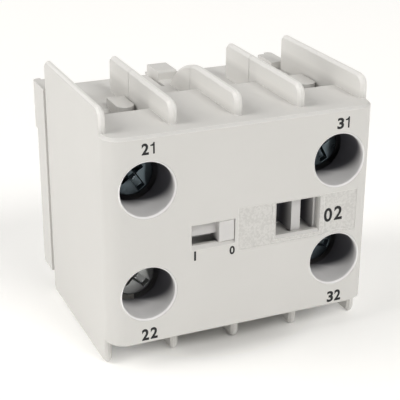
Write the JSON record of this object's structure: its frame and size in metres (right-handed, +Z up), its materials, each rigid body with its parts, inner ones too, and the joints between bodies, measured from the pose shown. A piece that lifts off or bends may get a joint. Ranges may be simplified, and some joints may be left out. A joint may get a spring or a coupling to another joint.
{
  "type": "auxiliary contact block",
  "caption": "Clip-fit auxiliary contact block for a small contactor, with screw terminals, wire barriers, a position window and normally closed contacts driven by a sliding carrier.",
  "frame": {"origin": "centre of the bounding box at the level that the block stands on, the lower edges of its side walls and barriers", "axes": "+X to the right seen from the front, +Y from the front face towards the mounting face, +Z up"},
  "size_m": [0.0444, 0.0384, 0.0414],
  "materials": {
    "housing_plastic": "satin light warm grey moulding",
    "carrier_plastic": "satin light grey moulding",
    "screw_steel": "blue zinc plated",
    "saddle_steel": "zinc plated",
    "strip_brass": "rolled strip",
    "bridge_copper": "copper alloy strip",
    "contact_silver": "silver alloy pads",
    "spring_steel": "drawn spring wire"
  },
  "bodies": {
    "housing": {"front_cover": "housing_plastic", "rear_base": "housing_plastic", "return_spring": "spring_steel", "terminal_strip_21": "strip_brass", "terminal_strip_22": "strip_brass", "terminal_strip_31": "strip_brass", "terminal_strip_32": "strip_brass", "fixed_contact_21": "contact_silver", "fixed_contact_22": "contact_silver", "fixed_contact_31": "contact_silver", "fixed_contact_32": "contact_silver"},
    "carrier": {"contact_carrier": "carrier_plastic", "contact_spring_left": "spring_steel", "contact_spring_right": "spring_steel"},
    "left_contact": {"bridge_left": "bridge_copper", "moving_contact_21": "contact_silver", "moving_contact_22": "contact_silver"},
    "right_contact": {"bridge_right": "bridge_copper", "moving_contact_31": "contact_silver", "moving_contact_32": "contact_silver"},
    "clamp_21": {"clamp_saddle_21": "saddle_steel"},
    "screw_21": {"terminal_screw_21": "screw_steel"},
    "clamp_22": {"clamp_saddle_22": "saddle_steel"},
    "screw_22": {"terminal_screw_22": "screw_steel"},
    "clamp_31": {"clamp_saddle_31": "saddle_steel"},
    "screw_31": {"terminal_screw_31": "screw_steel"},
    "clamp_32": {"clamp_saddle_32": "saddle_steel"},
    "screw_32": {"terminal_screw_32": "screw_steel"}
  },
  "joints": [
    {"name": "carrier_slide", "type": "slide", "parent": "housing", "child": "carrier", "axis": [-1, 0, 0], "range_m": [0, 0.0042], "stiffness_N_per_m": 120, "springref_m": -0.006, "deforming": ["return_spring"]},
    {"name": "left_contact_slide", "type": "slide", "parent": "carrier", "child": "left_contact", "axis": [-1, 0, 0], "range_m": [0, 0.001], "stiffness_N_per_m": 200, "springref_m": -0.002, "deforming": ["contact_spring_left"]},
    {"name": "right_contact_slide", "type": "slide", "parent": "carrier", "child": "right_contact", "axis": [-1, 0, 0], "range_m": [0, 0.001], "stiffness_N_per_m": 200, "springref_m": -0.002, "deforming": ["contact_spring_right"]},
    {"name": "clamp_21_slide", "type": "slide", "parent": "housing", "child": "clamp_21", "axis": [0, 1, 0], "range_m": [0, 0.0031]},
    {"name": "screw_21_turn", "type": "hinge", "parent": "clamp_21", "child": "screw_21", "pos_m": [-0.0158, -0.0119, 0.02935], "axis": [0, 1, 0], "range_deg": [0, 1860]},
    {"name": "clamp_22_slide", "type": "slide", "parent": "housing", "child": "clamp_22", "axis": [0, 1, 0], "range_m": [0, 0.0031]},
    {"name": "screw_22_turn", "type": "hinge", "parent": "clamp_22", "child": "screw_22", "pos_m": [-0.0158, -0.0119, 0.01255], "axis": [0, 1, 0], "range_deg": [0, 1860]},
    {"name": "clamp_31_slide", "type": "slide", "parent": "housing", "child": "clamp_31", "axis": [0, 1, 0], "range_m": [0, 0.0031]},
    {"name": "screw_31_turn", "type": "hinge", "parent": "clamp_31", "child": "screw_31", "pos_m": [0.0158, -0.0119, 0.02935], "axis": [0, 1, 0], "range_deg": [0, 1860]},
    {"name": "clamp_32_slide", "type": "slide", "parent": "housing", "child": "clamp_32", "axis": [0, 1, 0], "range_m": [0, 0.0031]},
    {"name": "screw_32_turn", "type": "hinge", "parent": "clamp_32", "child": "screw_32", "pos_m": [0.0158, -0.0119, 0.01255], "axis": [0, 1, 0], "range_deg": [0, 1860]}
  ],
  "couplings": [
    {"joint": "screw_21_turn", "follows": "clamp_21_slide", "rad_per_m": 10472},
    {"joint": "screw_22_turn", "follows": "clamp_22_slide", "rad_per_m": 10472},
    {"joint": "screw_31_turn", "follows": "clamp_31_slide", "rad_per_m": 10472},
    {"joint": "screw_32_turn", "follows": "clamp_32_slide", "rad_per_m": 10472}
  ]
}
